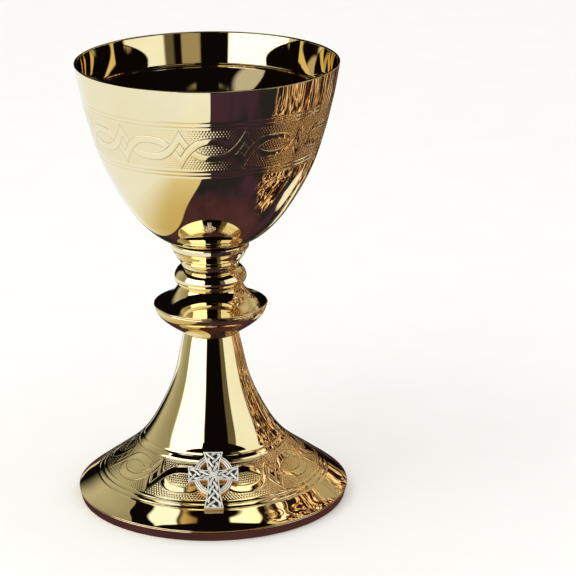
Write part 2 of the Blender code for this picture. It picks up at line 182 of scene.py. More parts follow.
def spline(points):
    """A natural cubic spline through (radius, height) points, as a table of (length, radius, height)."""
    p = np.array(points, float)
    t = np.concatenate([[0.0], np.cumsum(np.linalg.norm(np.diff(p, axis=0), axis=1))])
    gap = np.diff(t)
    n = len(p)
    system = np.eye(n)
    right = np.zeros((n, 2))
    for i in range(1, n - 1):
        system[i, i - 1 : i + 2] = gap[i - 1], 2 * (gap[i - 1] + gap[i]), gap[i]
        right[i] = 6 * ((p[i + 1] - p[i]) / gap[i] - (p[i] - p[i - 1]) / gap[i - 1])
    bend = np.linalg.solve(system, right)
    fine = np.linspace(0, t[-1], 3000)
    k = np.clip(np.searchsorted(t, fine, side="right") - 1, 0, n - 2)
    g = gap[k][:, None]
    a = (t[k + 1] - fine)[:, None]
    b = (fine - t[k])[:, None]
    line = (
        bend[k] * a**3 / (6 * g)
        + bend[k + 1] * b**3 / (6 * g)
        + (p[k] / g - bend[k] * g / 6) * a
        + (p[k + 1] / g - bend[k + 1] * g / 6) * b
    )
    length = np.concatenate([[0.0], np.cumsum(np.linalg.norm(np.diff(line, axis=0), axis=1))])
    return np.column_stack([length, line])


def at_length(curve, lengths):
    """(radius, height) rows of a curve at the given lengths from its start."""
    return np.column_stack([np.interp(lengths, curve[:, 0], curve[:, i]) for i in (1, 2)])


def normals_at(curve, lengths):
    """Outward normals of a downward curve at the given lengths."""
    reach = 0.15
    along = at_length(curve, lengths + reach) - at_length(curve, lengths - reach)
    along /= np.linalg.norm(along, axis=1)[:, None]
    return np.column_stack([-along[:, 1], along[:, 0]])


def length_at_height(curve, height):
    return float(np.interp(-height, -curve[:, 2], curve[:, 0]))


def evenly(start, end, step):
    """Lengths from start up to but not including end, spaced by about step."""
    count = max(1, round((end - start) / step))
    return np.linspace(start, end, count, endpoint=False)


def rounded(corners, radius, steps=ROUNDING_STEPS):
    """A closed (radius, height) outline with each corner rounded."""
    outline = []
    count = len(corners)
    for i, corner in enumerate(corners):
        here = Vector(corner)
        before = Vector(corners[i - 1]) - here
        after = Vector(corners[(i + 1) % count]) - here
        cut = min(radius, before.length * 0.45, after.length * 0.45)
        if here.x == 0.0:
            outline.append(here)
            continue
        start = here + before.normalized() * cut
        end = here + after.normalized() * cut
        for k in range(steps + 1):
            t = k / steps
            outline.append(start * (1 - t) ** 2 + here * 2 * t * (1 - t) + end * t * t)
    return np.array([tuple(point) for point in outline])


def join_rows(faces, upper, lower, upper_start, lower_start):
    """Faces between two rows of vertices, whose counts are equal, or one, or in the ratio COARSEN."""
    if upper == lower == 1:
        return
    k = np.arange(max(upper, lower) if 1 in (upper, lower) else min(upper, lower))
    u = [upper_start + (k + i) % upper for i in range(2)]
    d = [lower_start + (k + i) % lower for i in range(2)]
    if upper == 1:
        groups = [(u[0], d[0], d[1])]
    elif lower == 1:
        groups = [(u[0], d[0], u[1])]
    elif upper == lower:
        groups = [(u[0], d[0], d[1], u[1])]
    elif upper > lower:
        f = [upper_start + (COARSEN * k + i) % upper for i in range(4)]
        groups = [(f[0], d[0], f[1]), (f[1], d[0], d[1]), (f[1], d[1], f[2]), (f[2], d[1], f[3])]
    else:
        f = [lower_start + (COARSEN * k + i) % lower for i in range(4)]
        groups = [(u[0], f[0], f[1]), (u[0], f[1], u[1]), (u[1], f[1], f[2]), (u[1], f[2], f[3])]
    for group in groups:
        faces.extend(np.stack(group, 1).tolist())


def lathe(name, rows, columns, closed, relief=None):
    """A mesh turned from (radius, height, normal radius, normal height) rows running down the outside.

    columns holds each row's vertex count. relief(row number, angles) gives (outward offset, attributes)."""
    counts = [1 if row[0] == 0.0 else int(columns[i]) for i, row in enumerate(rows)]
    starts = [0, *np.cumsum(counts).tolist()]
    places = []
    fields = {}
    for i, (radius, height, nr, nz) in enumerate(rows):
        angle = np.arange(counts[i]) * 2 * math.pi / counts[i]
        offset, extra = relief(i, angle) if relief else (0.0, {})
        r = radius + nr * offset
        z = height + nz * offset
        places.append(np.column_stack([r * np.sin(angle), -r * np.cos(angle), z + 0 * angle]))
        for key, value in extra.items():
            fields.setdefault(key, {})[i] = value
    faces = []
    pairs = list(zip(range(len(rows)), range(1, len(rows))))
    if closed:
        pairs.append((len(rows) - 1, 0))
    for a, b in pairs:
        join_rows(faces, counts[a], counts[b], starts[a], starts[b])
    mesh = bpy.data.meshes.new(name)
    mesh.from_pydata((np.concatenate(places) * MM).tolist(), [], faces)
    for key, found in fields.items():
        values = np.full(starts[-1], PLAIN[key], np.float32)
        for i, value in found.items():
            values[starts[i] : starts[i + 1]] = value
        mesh.attributes.new(key, "FLOAT", "POINT").data.foreach_set("value", values)
    mesh.shade_smooth()
    return mesh


def with_normals(points, closed=False):
    """Adds each row's outward normal to plain (radius, height) rows."""
    p = np.array(points, float)
    if closed:
        along = np.roll(p, -1, 0) - np.roll(p, 1, 0)
    else:
        along = np.gradient(p, axis=0)
    along /= np.maximum(np.linalg.norm(along, axis=1), 1e-9)[:, None]
    return np.column_stack([p, -along[:, 1], along[:, 0]])


def show(name, data):
    thing = bpy.data.objects.new(name, data)
    bpy.context.scene.collection.objects.link(thing)
    return thing


def add_piece(name, mesh, body, node, slot, *materials):
    """Adds a mesh that stands for one CAD node and moves with a body."""
    thing = show(name, mesh)
    for material in materials:
        mesh.materials.append(material)
    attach(thing, body)
    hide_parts(node)


def turned_mesh(name, outline, seat, columns, closed=True):
    """A turned mesh from an outline whose heights start at its seat."""
    rows = with_normals(np.array(outline, float) + np.array([0.0, seat]), closed)
    return lathe(name, rows, [columns] * len(rows), closed)


# ---- engraving


def interlace(x, y, pattern, mm_per_degree):
    """At (x degrees, y mm) from an eye's centre: distance to a line, depth in each ribbon, ground.

    One ribbon arches over the eye from star to star, and its mirror image swings below."""
    half = 180 / pattern["repeats"]
    t = np.clip(np.abs(x) / half, 0, 1)
    eye_fall = pattern["eye"] + pattern["tip"]
    arch_fall = pattern["arch"] + pattern["diamond"]
    inner = pattern["eye"] - eye_fall * t**EYE_BEND
    outer = pattern["arch"] - arch_fall * t**ARCH_BEND
    reach = half * mm_per_degree
    inner_tilt = np.hypot(1, eye_fall * EYE_BEND * t ** (EYE_BEND - 1) / reach)
    outer_tilt = np.hypot(1, arch_fall * ARCH_BEND * t ** (ARCH_BEND - 1) / reach)
    over = np.minimum((y - inner) / inner_tilt, (outer - y) / outer_tilt)
    under = np.minimum((-inner - y) / inner_tilt, (y + outer) / outer_tilt)
    over_edge = np.minimum(np.abs(y - inner) / inner_tilt, np.abs(outer - y) / outer_tilt)
    under_edge = np.minimum(np.abs(inner + y) / inner_tilt, np.abs(y + outer) / outer_tilt)
    over_edge = np.where((under > 0) & (x > 0), FAR, over_edge)
    under_edge = np.where((over > 0) & (x < 0), FAR, under_edge)
    ground = -np.maximum(over, under)
    in_diamond = (y > outer) & (y < -outer)
    return np.minimum(over_edge, under_edge), over, under, np.where(in_diamond, -1.0, ground)


def smooth_step(low, high, value):
    t = np.clip((value - low) / (high - low), 0, 1)
    return t * t * (3 - 2 * t)


def pit(distance, radius, depth):
    return -depth * np.exp(-((distance / radius) ** 2))


def engraved_relief(rows, lengths, curve, pattern, first_fine):
    """The relief function of a shell with engraved rings and one patterned band."""
    middle = length_at_height(curve, pattern["middle"])
    ring_lengths = [length_at_height(curve, ring) for ring in pattern["rings"]]

    def relief(i, angle):
        if i >= len(lengths):
            return 0.0, {}
        ring_distance = min(abs(lengths[i] - ring) for ring in ring_lengths)
        offset = np.full(len(angle), float(pit(ring_distance, RING_RADIUS, RING_DEPTH)))
        fields = {"ring": np.full(len(angle), ring_distance)}
        y = middle - lengths[i]
        if len(angle) == pattern["columns"] * pattern["repeats"]:
            radius = rows[i][0]
            mm_per_degree = radius * math.pi / 180
            period = 360 / pattern["repeats"]
            x = (np.degrees(angle) - pattern["eye_at"] + period / 2) % period - period / 2
            edge, over, under, ground = interlace(x, y, pattern, mm_per_degree)
            ground = np.minimum(ground, pattern["half_band"] - abs(y))
            side = np.sin(2 * math.pi * x / period)
            fields.update({"over": over, "under": under, "side": side, "ground": ground})
            drop = GROUND_DROP * smooth_step(*GROUND_EDGE, ground)
            crown = RIBBON_CROWN * smooth_step(*CROWN_EDGE, -ground)
            row = i - first_fine
            column = np.arange(len(angle))
            shift = DOT_COLUMNS // 2 * ((row + DOT_ROWS // 2) // DOT_ROWS % 2)
            near_column = (column + shift + DOT_COLUMNS / 2) % DOT_COLUMNS - DOT_COLUMNS / 2
            near_row = (row + DOT_ROWS // 2) % DOT_ROWS - DOT_ROWS // 2
            cell = 360 / len(angle) * mm_per_degree
            dot = pit(np.hypot(near_column * cell, near_row * ROW_STEP), DOT_RADIUS, pattern["dot_depth"])
            dot = dot * smooth_step(*DOT_EDGE, ground)
            offset = offset + pit(edge, LINE_RADIUS, LINE_DEPTH) - drop + crown + dot
        return offset, fields

    return relief


def engraved_rows(curve, pattern):
    """Row lengths of an engraved shell and the number of columns of each."""
    band = sorted(length_at_height(curve, ring) for ring in pattern["rings"])
    top = band[0] - RING_MARGIN
    bottom = band[-1] + RING_MARGIN
    middle = length_at_height(curve, pattern["middle"])
    fine_top = middle - pattern["half_band"]
    fine_bottom = middle + pattern["half_band"]
    parts = [
        np.array([0.0, 0.15, 0.4]),
        evenly(0.8, top, pattern["plain_step"]),
        evenly(top, fine_top, ROW_STEP),
        evenly(fine_top, fine_bottom, ROW_STEP),
        evenly(fine_bottom, bottom, ROW_STEP),
        evenly(bottom, curve[-1, 0] - 0.8, pattern["end_step"]),
        curve[-1, 0] - np.array([0.4, 0.15, 0.0]),
    ]
    fine = pattern["columns"] * pattern["repeats"]
    coarse = fine // COARSEN
    columns = [np.full(len(part), fine if n == 3 else coarse) for n, part in enumerate(parts)]
    first_fine = sum(len(part) for part in parts[:3])
    return np.concatenate(parts), np.concatenate(columns), first_fine, coarse


def engraved_shell(name, curve, pattern, rest, body, node, slot, material):
    """An engraved outside along a curve, closed by the plain (radius, height) rows of the rest."""
    lengths, columns, first_fine, coarse = engraved_rows(curve, pattern)
    outside = np.column_stack([at_length(curve, lengths), normals_at(curve, lengths)])
    rows = np.concatenate([outside, with_normals(rest)])
    counts = np.concatenate([columns, np.full(len(rest), coarse)])
    relief = engraved_relief(rows, lengths, curve, pattern, first_fine)
    add_piece(name, lathe(name, rows, counts, True, relief), body, node, slot, material)


# ---- node helpers


class Nodes:
    """Short names for adding shader nodes to one tree."""

    def __init__(self, tree):
        self.tree = tree

    def add(self, kind, **settings):
        node = self.tree.nodes.new(kind)
        for key, value in settings.items():
            setattr(node, key, value)
        return node

    def wire(self, socket, value):
        if isinstance(value, bpy.types.NodeSocket):
            self.tree.links.new(value, socket)
        elif value is not None:
            socket.default_value = value

    def fed(self, node, *values):
        """The first output of a node whose first inputs get the values."""
        for socket, value in zip(node.inputs, values):
            self.wire(socket, value)
        return node.outputs[0]

    def math(self, operation, *values):
        return self.fed(self.add("ShaderNodeMath", operation=operation), *values)

    def plus(self, a, b):
        return self.math("ADD", a, b)

    def minus(self, a, b):
        return self.math("SUBTRACT", a, b)

    def times(self, a, b):
        return self.math("MULTIPLY", a, b)

    def over(self, a, b):
        return self.math("DIVIDE", a, b)

    def linear(self, value, factor, offset):
        return self.math("MULTIPLY_ADD", value, factor, offset)

    def length(self, a, b):
        return self.math("SQRT", self.plus(self.math("POWER", a, 2.0), self.math("POWER", b, 2.0)))

    def split(self, vector):
        node = self.add("ShaderNodeSeparateXYZ")
        self.wire(node.inputs[0], vector)
        return node.outputs

    def step(self, value, low, high, start=0.0, end=1.0):
        node = self.add("ShaderNodeMapRange", interpolation_type="SMOOTHSTEP")
        return self.fed(node, value, low, high, start, end)

    def fall(self, value, low, high):
        return self.step(value, low, high, 1.0, 0.0)

    def window(self, value, rising, falling):
        """1 between two soft edges, 0 outside them."""
        return self.times(self.step(value, *rising), self.fall(value, *falling))

    def mix(self, factor, a, b):
        node = self.add("ShaderNodeMix", data_type="RGBA")
        for number, value in ((0, factor), (6, a), (7, b)):
            self.wire(node.inputs[number], (*value, 1.0) if isinstance(value, tuple) else value)
        return node.outputs[2]

    def glow(self, colour):
        return self.fed(self.add("ShaderNodeEmission"), colour)

    def clear(self):
        return self.add("ShaderNodeBsdfTransparent").outputs[0]

    def either(self, factor, a, b):
        """Surface a where the factor is 0 and b where it is 1."""
        return self.fed(self.add("ShaderNodeMixShader"), factor, a, b)

    def ramp(self, factor, stops):
        node = self.add("ShaderNodeValToRGB")
        elements = node.color_ramp.elements
        while len(elements) < len(stops):
            elements.new(0.5)
        for element, (place, colour) in zip(elements, stops):
            element.position = place
            element.color = (*colour, 1.0)
        self.wire(node.inputs[0], factor)
        return node.outputs[0]

    def noise(self, vector, scale, detail=2.0, roughness=0.5):
        return self.texture(vector, Scale=scale, Detail=detail, Roughness=roughness)

    def texture(self, vector, **inputs):
        node = self.add("ShaderNodeTexNoise")
        self.wire(node.inputs["Vector"], vector)
        for name, value in inputs.items():
            self.wire(node.inputs[name], value)
        return node.outputs[0]

    def scaled(self, vector, x, y, z):
        node = self.add("ShaderNodeMapping")
        self.wire(node.inputs["Vector"], vector)
        node.inputs["Scale"].default_value = (x, y, z)
        return node.outputs[0]

    def bump(self, height, distance, strength=1.0, normal=None):
        node = self.add("ShaderNodeBump")
        self.wire(node.inputs["Height"], height)
        self.wire(node.inputs["Distance"], distance)
        self.wire(node.inputs["Strength"], strength)
        self.wire(node.inputs["Normal"], normal)
        return node.outputs[0]

    def attribute(self, name):
        return self.add("ShaderNodeAttribute", attribute_name=name).outputs["Fac"]


def new_material(name):
    material = bpy.data.materials.new(name)
    material.use_nodes = True
    nodes = Nodes(material.node_tree)
    shader = material.node_tree.nodes["Principled BSDF"]
    place = nodes.add("ShaderNodeTexCoord").outputs["Object"]
    return material, nodes, shader, place


def coat(nodes, shader, tone, rough, normal, metallic):
    names = ("Base Color", "Roughness", "Normal", "Metallic")
    for name, value in zip(names, (tone, rough, normal, metallic)):
        nodes.wire(shader.inputs[name], value)


# ---- materials

GOLD = (0.93, 0.80, 0.50)
GOLD_WARM = (0.90, 0.75, 0.43)
# Painted shade: darker golds laid into the punched ground and into the engraved lines.
GOLD_STIPPLE_SHADE = (0.84, 0.62, 0.28)
GOLD_GROOVE_SHADE = (0.50, 0.32, 0.12)
FIBRE_DARK = (0.20, 0.06, 0.035)
FIBRE_RED = (0.33, 0.12, 0.07)
FIBRE_FLECK = (0.42, 0.22, 0.15)
SILVER_BRIGHT = (0.93, 0.92, 0.86)
SILVER_BLACK = (0.030, 0.026, 0.022)


def make_gilt(name, engraved):
    """Mirror-polished gold plate: faint tone drift, polishing hairlines, rougher in engraved work, whose
    lines and punched ground get painted shade.
    """
    material, nodes, shader, place = new_material(name)
    drift = nodes.noise(place, 38.0, 3.0)
    tone = nodes.mix(nodes.step(drift, 0.35, 0.75), GOLD, GOLD_WARM)
    hairline = nodes.noise(nodes.scaled(place, 60.0, 60.0, 2600.0), 1.0, 3.0, 0.7)
    handling = nodes.noise(place, 120.0, 4.0, 0.6)
    rough = nodes.step(handling, 0.45, 0.8, 0.01, 0.035)
    normal = nodes.bump(hairline, 0.0000006)
    if engraved:
        ground, over, under, side, ring = map(nodes.attribute, ("ground", "over", "under", "side", "ring"))
        right = nodes.step(side, -0.001, 0.001)
        lines = []
        for ribbon, other, half in ((over, under, right), (under, over, nodes.minus(1.0, right))):
            hidden = nodes.times(nodes.step(other, 0.0, 0.02), half)
            lines.append(nodes.linear(hidden, FAR, nodes.math("ABSOLUTE", ribbon)))
        groove = nodes.fall(nodes.math("MINIMUM", *lines), 0.05, 0.30)
        turned_line = nodes.fall(ring, 0.05, 0.40)
        cut = nodes.math("MAXIMUM", groove, nodes.times(turned_line, 0.6))
        stipple = nodes.step(ground, 0.2, 0.5)
        # Painted shade: the punched ground, the engraved ribbon lines and the turned rings are darkened in
        # colour; the same masks also make them rougher.
        tone = nodes.mix(nodes.times(stipple, 0.15), tone, GOLD_STIPPLE_SHADE)
        tone = nodes.mix(nodes.times(cut, 0.45), tone, GOLD_GROOVE_SHADE)
        rough = nodes.plus(rough, nodes.times(stipple, 0.035))
        rough = nodes.plus(rough, nodes.times(cut, 0.05))
        normal = nodes.bump(nodes.times(groove, -1.0), 0.00005, 1.0, normal)
        grain = nodes.noise(place, 1900.0, 2.0, 0.6)
        normal = nodes.bump(nodes.times(grain, stipple), 0.00003, 0.4, normal)
    coat(nodes, shader, tone, rough, normal, 1.0)
    return material


def make_turned_metal(name, light, dark, rough, line_scale, metallic=1.0):
    """Unplated turned metal: tool lines around the axis, cloudy tarnish."""
    material, nodes, shader, place = new_material(name)
    lines = nodes.noise(nodes.scaled(place, 30.0, 30.0, line_scale), 1.0, 2.0, 0.6)
    cloud = nodes.noise(place, 260.0, 4.0, 0.6)
    tone = nodes.mix(nodes.step(cloud, 0.3, 0.75), light, dark)
    rough = nodes.step(cloud, 0.2, 0.8, rough, rough + 0.18)
    coat(nodes, shader, tone, rough, nodes.bump(lines, 0.00003, 0.6), metallic)
    return material


def make_fibre():
    """Red-brown vulcanised fibre: matt, faintly mottled, with short hair-like flecks."""
    material, nodes, shader, place = new_material("fibre_washer")
    mottle = nodes.noise(place, 900.0, 5.0, 0.7)
    fleck = nodes.noise(nodes.scaled(place, 4000.0, 700.0, 4000.0), 1.0, 2.0, 0.5)
    tone = nodes.mix(nodes.step(mottle, 0.3, 0.7), FIBRE_DARK, FIBRE_RED)
    tone = nodes.mix(nodes.step(fleck, 0.6, 0.75), tone, FIBRE_FLECK)
    rough = nodes.step(mottle, 0.2, 0.8, 0.62, 0.85)
    coat(nodes, shader, tone, rough, nodes.bump(mottle, 0.00008, 0.6), 0.0)
    return material


def make_silver():
    """Cast silver: bright polished tops, blackened recesses and a fine cast grain."""
    material, nodes, shader, place = new_material("oxidised_silver")
    grain = nodes.noise(place, 1500.0, 4.0, 0.65)
    patchy = nodes.plus(nodes.attribute("recess"), nodes.times(nodes.minus(grain, 0.5), 0.25))
    black = nodes.step(patchy, 0.30, 0.72)
    tone = nodes.mix(black, SILVER_BRIGHT, SILVER_BLACK)
    rough = nodes.plus(0.30, nodes.times(black, 0.4))
    coat(nodes, shader, tone, rough, nodes.bump(grain, 0.00005, 0.5), 0.45)
    return material


BOWL_GILT = make_gilt("bowl_gilt_engraved", True)
FOOT_GILT = make_gilt("foot_gilt_engraved", True)
STEM_GILT = make_gilt("stem_gilt", False)
CROSS_GILT = make_turned_metal("cross_side_gilt", (0.86, 0.56, 0.25), (0.62, 0.33, 0.13), 0.34, 900.0, 0.4)
BRASS = make_turned_metal("turned_brass", (0.75, 0.55, 0.27), (0.52, 0.35, 0.15), 0.24, 5200.0)
STEEL = make_turned_metal("zinc_plated_steel", (0.66, 0.67, 0.66), (0.44, 0.45, 0.46), 0.28, 3800.0)
SILVER = make_silver()
FIBRE = make_fibre()


# ---- gilt pieces


def make_bowl():
    curve = spline(BOWL_OUTLINE)
    curve[:, 2] += BOWL_SEAT
    base = [(radius, BOWL_SEAT) for radius in (8.0, 4.0, 0.0)]
    floor = [(radius, BOWL_SEAT + SHEET) for radius in (0.0, 4.0, 8.0)]
    bead = length_at_height(curve, INNER_BEAD_HEIGHT)
    deep = np.linspace(curve[-1, 0], bead + INNER_BEAD_MARGIN, 60, endpoint=False)
    around_bead = np.linspace(bead + INNER_BEAD_MARGIN, bead - INNER_BEAD_MARGIN, 13)
    lip_side = np.linspace(bead - 2.0, 0.9, 14)
    lengths = np.concatenate([deep, around_bead, lip_side, [0.6, 0.45, 0.35]])
    thickness = SHEET + INNER_BEAD * np.exp(-(((lengths - bead) / INNER_BEAD_WIDTH) ** 2))
    inside = at_length(curve, lengths) - thickness[:, None] * normals_at(curve, lengths)
    edge = inside[-1][0]
    lip = [(edge + 0.06, HEIGHT - 0.12), (edge + 0.2, HEIGHT), (60.1, HEIGHT), (60.26, HEIGHT - 0.12)]
    rest = np.concatenate([base, floor, inside, lip])
    engraved_shell("spun_bowl", curve, BOWL_PATTERN, rest, "bowl", "bowl", "bowl_gilt", BOWL_GILT)


def make_foot(curve):
    lengths = np.linspace(curve[-1, 0] - 1.2, 1.2, 40)
    inside = at_length(curve, lengths) - SHEET * normals_at(curve, lengths)
    edge = [(63.5, SHELL_EDGE + 0.1), (63.35, SHELL_EDGE), (62.2, SHELL_EDGE)]
    top = [(11.5, STEM_TOP - 0.4), (11.7, STEM_TOP), (12.4, STEM_TOP)]
    rest = np.concatenate([edge, inside, top])
    body = "stem_and_foot"
    engraved_shell("spun_foot", curve, FOOT_PATTERN, rest, body, "foot_shell", "foot_gilt", FOOT_GILT)


def gilt_piece(name, parts, seat, node, slot="stem_gilt", columns=GILT_COLUMNS):
    """A turned gilt piece of the stem and foot, its outline given in parts."""
    mesh = turned_mesh(name, np.concatenate(parts), seat, columns)
    add_piece(name, mesh, "stem_and_foot", node, slot, STEM_GILT)


def make_collar():
    lip = COLLAR_HEIGHT
    side = spline(COLLAR_COVE)
    cove = at_length(side, np.linspace(side[-1, 0], 0, 40))
    band = rounded([(12.6, lip), (18.1, lip), (18.1, lip - 2.7), (17.2, lip - 3.2)], 0.55)
    recess = rounded([(STUB_BORE, 0.0), (STUB_BORE, lip - 3.6), (12.6, lip - 3.6)], 0.2)
    corner = ROUNDING_STEPS + 1
    gilt_piece("turned_collar", [band[:-corner], cove, recess[corner:]], COLLAR_SEAT, "collar")


def make_bead():
    side = spline(BEAD_OUTLINE)
    outside = at_length(side, np.linspace(0, side[-1, 0], 36))
    bore = [(STUB_BORE, 0.0), (STUB_BORE, BEAD_HEIGHT)]
    gilt_piece("neck_bead_ring", [outside, bore], BEAD_SEAT, "neck_bead")


def knop_sides(outline, start, end):
    """Outside of a knop shell, and its inside between two lengths, the first counted back from the end."""
    curve = spline(outline)
    lengths = np.linspace(curve[-1, 0] - start, end, 24)
    inside = at_length(curve, lengths) - KNOP_SHEET * normals_at(curve, lengths)
    return at_length(curve, np.linspace(0, curve[-1, 0], 40)), inside


def make_knop():
    outside, inside = knop_sides(KNOP_TOP_OUTLINE, 1.0, 2.6)
    lip = [(26.3, 0.72), (26.5, 0.5), (26.48, 0.25), (26.2, 0.03), (25.0, 0.0)]
    roof = KNOP_TOP_HEIGHT - KNOP_SHEET
    throat = [(12.6, roof), (STUB_BORE, roof), (STUB_BORE, KNOP_TOP_HEIGHT)]
    inside = inside[(inside[:, 1] < roof - 0.2) & (inside[:, 0] > 13.0) & (inside[:, 1] > 0.05)]
    gilt_piece("knop_cone", [outside, lip, inside, throat], KNOP_TOP_SEAT, "knop_top")
    outside, inside = knop_sides(KNOP_BOTTOM_OUTLINE, 2.5, 1.5)
    inside = inside[inside[:, 1] > KNOP_SHEET + 0.3]
    floor = [(7.0, 0.0), (7.0, KNOP_SHEET), (inside[0][0] - 1.0, KNOP_SHEET)]
    lip = [(24.7, KNOP_BOTTOM_HEIGHT)]
    gilt_piece("knop_dish", [outside, floor, inside, lip], KNOP_BOTTOM_SEAT, "knop_bottom")


def make_foot_ring():
    outline = rounded(FOOT_RING_CORNERS, 0.45, 6)
    gilt_piece("standing_ring", [outline], 0.0, "foot_ring", "foot_gilt", FOOT_RING_COLUMNS)


# ---- hardware


def hard_piece(name, outline, seat, body, node, slot, material, closed=True):
    """A turned piece with crisp edges."""
    mesh = turned_mesh(name, outline, seat, HARDWARE_COLUMNS, closed)
    mesh.set_sharp_from_angle(angle=math.radians(35))
    add_piece(name, mesh, body, node, slot, material)


def make_boss():
    foot = bottom_of("bowl_boss")
    top = top_of("bowl_boss")
    outline = [
        (0.0, top), (11.7, top), (12.0, top - 0.3), (12.0, top - 1.9), (11.6, top - 2.3),
        (7.0, top - 2.3), (7.0, foot + 0.4), (6.6, foot), (4.9, foot), (4.3, foot + 0.6),
        (4.3, BOSS_ROOF), (0.0, BOSS_ROOF),
    ]
    hard_piece("brazed_boss", outline, 0.0, "bowl", "bowl_boss", "turned_brass", BRASS, closed=False)


def make_rings():
    """The plain rings inside the object, and the washer that wedges in the stem."""
    for name, node, body, material, slot, bore, soft in (
        ("fibre_seat", "seat_washer", "bowl_lift", FIBRE, "fibre", 7.3, 0.15),
        ("stem_bush", "stem_plug", "stem_and_foot", BRASS, "turned_brass", 4.3, 0.4),
        ("knop_sleeve", "knop_core", "stem_and_foot", BRASS, "turned_brass", 5.0, 0.3),
    ):
        low, high, outer = bottom_of(node), top_of(node), radius_of(node)
        outline = rounded([(outer, high), (outer, low), (bore, low), (bore, high)], soft)
        hard_piece(name, outline, 0.0, body, node, slot, material)
    outline = rounded(CLAMP_CORNERS, 0.2)
    seat = bottom_of("clamp_washer")
    hard_piece("clamping_washer", outline, seat, "stem_and_foot", "clamp_washer", "turned_brass", BRASS)


def make_threaded_rod():
    """The tie rod with a true helical M8 thread at each end and a plain shank between."""
    pitch = 1.25
    depth = 0.62
    thread_length = 24.0
    shank = 3.55
    rod_top = top_of("tie_rod")
    rod_bottom = bottom_of("tie_rod")
    rod_radius = radius_of("tie_rod")
    heights = np.concatenate(
        [
            np.arange(rod_top, rod_top - thread_length, -pitch / 8),
            np.arange(rod_top - thread_length, rod_bottom + thread_length, -3.0),
            np.arange(rod_bottom + thread_length, rod_bottom, -pitch / 8),
            [rod_bottom],
        ]
    )
    rows = np.array([(rod_radius, z, 1.0, 0.0) for z in heights])
    rows = np.concatenate([[(0.0, rod_top, 0.0, 1.0)], rows, [(0.0, rod_bottom, 0.0, -1.0)]])

    def relief(i, angle):
        radius, z = rows[i][:2]
        if radius == 0.0:
            return 0.0, {}
        wave = np.abs((z / pitch - angle / (2 * math.pi)) % 1 * 2 - 1)
        cut = -depth * np.clip(wave * 1.3 - 0.15, 0, 1)
        end = min(rod_top - z, z - rod_bottom)
        blend = smooth_step(thread_length - 1.0, thread_length, end)
        chamfer = np.clip(0.9 - end, 0, None)
        offset = cut * (1 - blend) + (shank - rod_radius) * blend
        return np.minimum(offset, -chamfer), {}

    mesh = lathe("threaded_rod", rows, [ROD_COLUMNS] * len(rows), False, relief)
    add_piece("threaded_rod", mesh, "stem_and_foot", "tie_rod", "steel", STEEL)


# ---- cross


def arm_inside(along, across, length):
    """How deep a point lies inside one flared arm, negative outside."""
    reach = np.clip((along - CROSS["neck"]) / (length - CROSS["neck"]), 0, 1)
    growth = CROSS["end"] - CROSS["neck"]
    half = CROSS["neck"] + growth * reach ** CROSS["flare"]
    slope = growth * CROSS["flare"] * reach ** (CROSS["flare"] - 1) / (length - CROSS["neck"])
    depth = np.minimum(length - along, along + CROSS["neck"])
    return np.minimum((half - np.abs(across)) / np.hypot(1, slope), depth), half


def plait(along, across, half, start, wave):
    """Height of a three-strand plait: 0 at its ground, 1 on a strand, with gaps where one passes under."""
    room = np.maximum(half - BORDER - STRAND, 0.2)
    away = []
    rank = []
    for k in range(3):
        phase = 2 * math.pi * ((along - start) / wave + k / 3)
        lean = np.hypot(1, room * np.cos(phase) * 2 * math.pi / wave)
        away.append(np.abs(across - room * np.sin(phase)) / lean)
        rank.append(np.sin(2 * phase))
    tallest = np.zeros_like(along)
    for k in range(3):
        height = np.maximum(1 - (away[k] / STRAND) ** 4, 0) ** 0.5
        for j in range(3):
            if j != k:
                hidden = (rank[j] > rank[k]) & (away[j] < STRAND + KNOT_GAP)
                height = np.where(hidden, 0, height)
        tallest = np.maximum(tallest, height)
    return tallest


def cross_fields(x, y):
    """Depth inside the outline, top height and recess of the cross at flat positions (across, uphill)."""
    inside = np.full_like(x, -FAR)
    carve = np.zeros_like(x)
    for along, across, length, wave in (
        (y, x, CROSS["up"], 12.5),
        (-y, x, CROSS["down"], 13.0),
        (x, y, CROSS["side"], 12.0),
        (-x, y, CROSS["side"], 12.0),
    ):
        depth, half = arm_inside(along, across, length)
        inside = np.maximum(inside, depth)
        knot = plait(along, across, half, length - 1.2, wave)
        carve = np.maximum(carve, np.where((depth > 0) & (along > -0.5), knot, 0))
    border = 1 - smooth_step(0.45, 0.75, inside)
    relief = np.maximum(border, carve)
    edge_round = 0.25 * np.clip(1 - inside / 0.3, 0, 1) ** 2
    arm_top = CROSS_THICKNESS - 0.75 * (1 - relief) - edge_round
    squash = CROSS_RING["half_height"] / CROSS_RING["half_width"]
    reach = np.hypot(x, y / squash)
    from_edge = CROSS_RING["half_width"] - reach
    ring_inside = np.minimum(from_edge, CROSS_RING["band"] - from_edge)
    groove = np.exp(-(((ring_inside - BORDER) / 0.22) ** 2))
    ring_round = 0.3 * np.clip(1 - ring_inside / 0.35, 0, 1) ** 2
    ring_top = CROSS_RING["thickness"] - 0.3 * groove - ring_round
    on_arm = inside > 0
    top = np.where(on_arm, np.where(ring_inside > 0, np.maximum(arm_top, ring_top), arm_top), ring_top)
    recess = np.where(on_arm, 1 - relief, 0.75 * groove)
    return np.maximum(inside, ring_inside), top, recess


